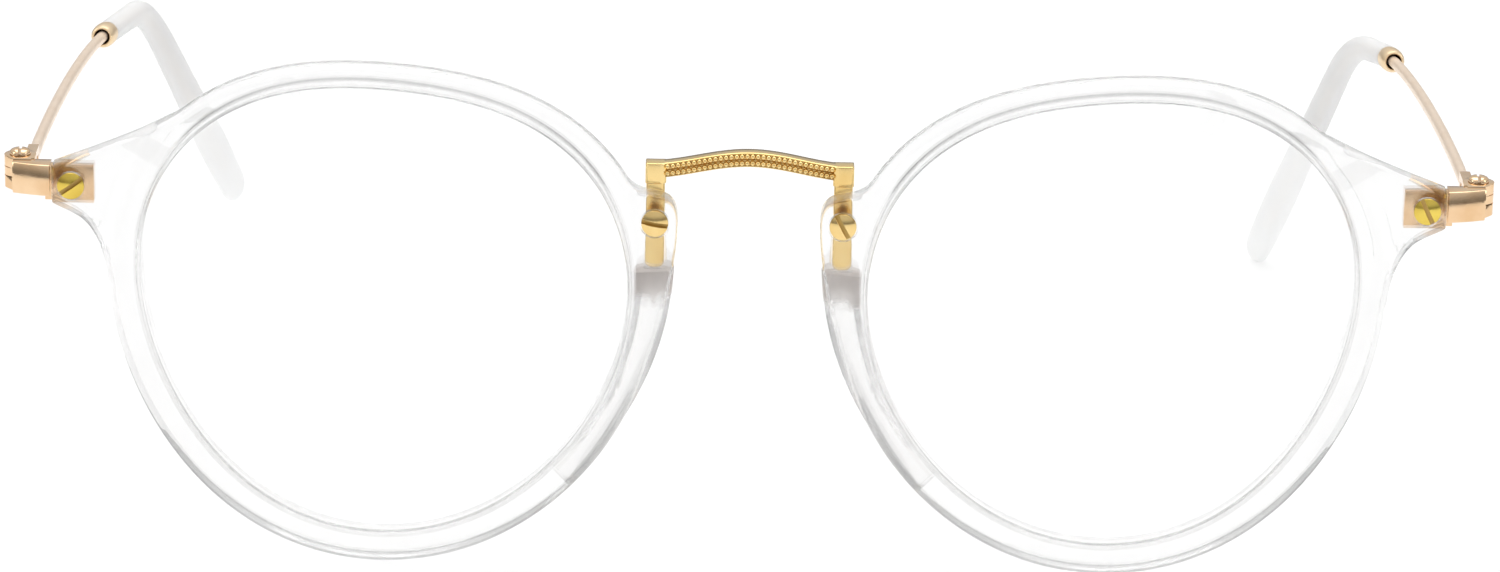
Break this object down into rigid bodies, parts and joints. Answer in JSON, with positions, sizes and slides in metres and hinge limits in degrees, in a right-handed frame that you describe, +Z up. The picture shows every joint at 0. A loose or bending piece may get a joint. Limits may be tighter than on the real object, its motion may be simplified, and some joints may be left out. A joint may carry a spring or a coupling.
{
  "type": "round eyeglasses",
  "caption": "Round clear-plastic eyeglasses with a beaded metal bridge, metal endpieces and folding wire temples that end in bent plastic ear tips.",
  "frame": {"origin": "bottom centre of the bounding box, temples open; Z = 0 is the table the rims and the wearer's left tip stand on", "axes": "+X towards the wearer's left, across the two lenses; +Y back along the temples, the front looks towards -Y; +Z up"},
  "size_m": [0.141, 0.1365, 0.0491],
  "materials": {
    "clear_plastic": "polished clear plastic",
    "pad_plastic": "polished clear plastic, slightly grey",
    "demo_lens": "clear plano lens",
    "milky_plastic": "polished milky plastic",
    "gold_trim": "polished yellow gold plating",
    "rose_gold": "polished rose gold plating",
    "temple_wire": "satin rose gold plating",
    "brass_screw": "bright brass"
  },
  "bodies": {
    "front": {"bridge": "gold_trim", "left_rim": "clear_plastic", "left_lens": "demo_lens", "left_nose_pad": "pad_plastic", "left_bridge_screw": "brass_screw", "left_endpiece": "rose_gold", "left_endpiece_screw": "brass_screw", "left_hinge_screw": "rose_gold", "right_rim": "clear_plastic", "right_lens": "demo_lens", "right_nose_pad": "pad_plastic", "right_bridge_screw": "brass_screw", "right_endpiece": "rose_gold", "right_endpiece_screw": "brass_screw", "right_hinge_screw": "rose_gold"},
    "left_temple": {"left_temple_leaf": "rose_gold", "left_temple_wire": "temple_wire", "left_temple_ferrule": "gold_trim", "left_temple_tip": "milky_plastic"},
    "right_temple": {"right_temple_leaf": "rose_gold", "right_temple_wire": "temple_wire", "right_temple_ferrule": "gold_trim", "right_temple_tip": "milky_plastic"}
  },
  "joints": [
    {"name": "left_temple_hinge", "type": "hinge", "parent": "front", "child": "left_temple", "pos_m": [0.06895, -0.06228, 0.0372], "axis": [0, -0.0597, 0.9982], "range_deg": [0, 86]},
    {"name": "right_temple_hinge", "type": "hinge", "parent": "front", "child": "right_temple", "pos_m": [-0.06895, -0.06228, 0.0372], "axis": [0, 0.0597, -0.9982], "range_deg": [0, 82]}
  ]
}
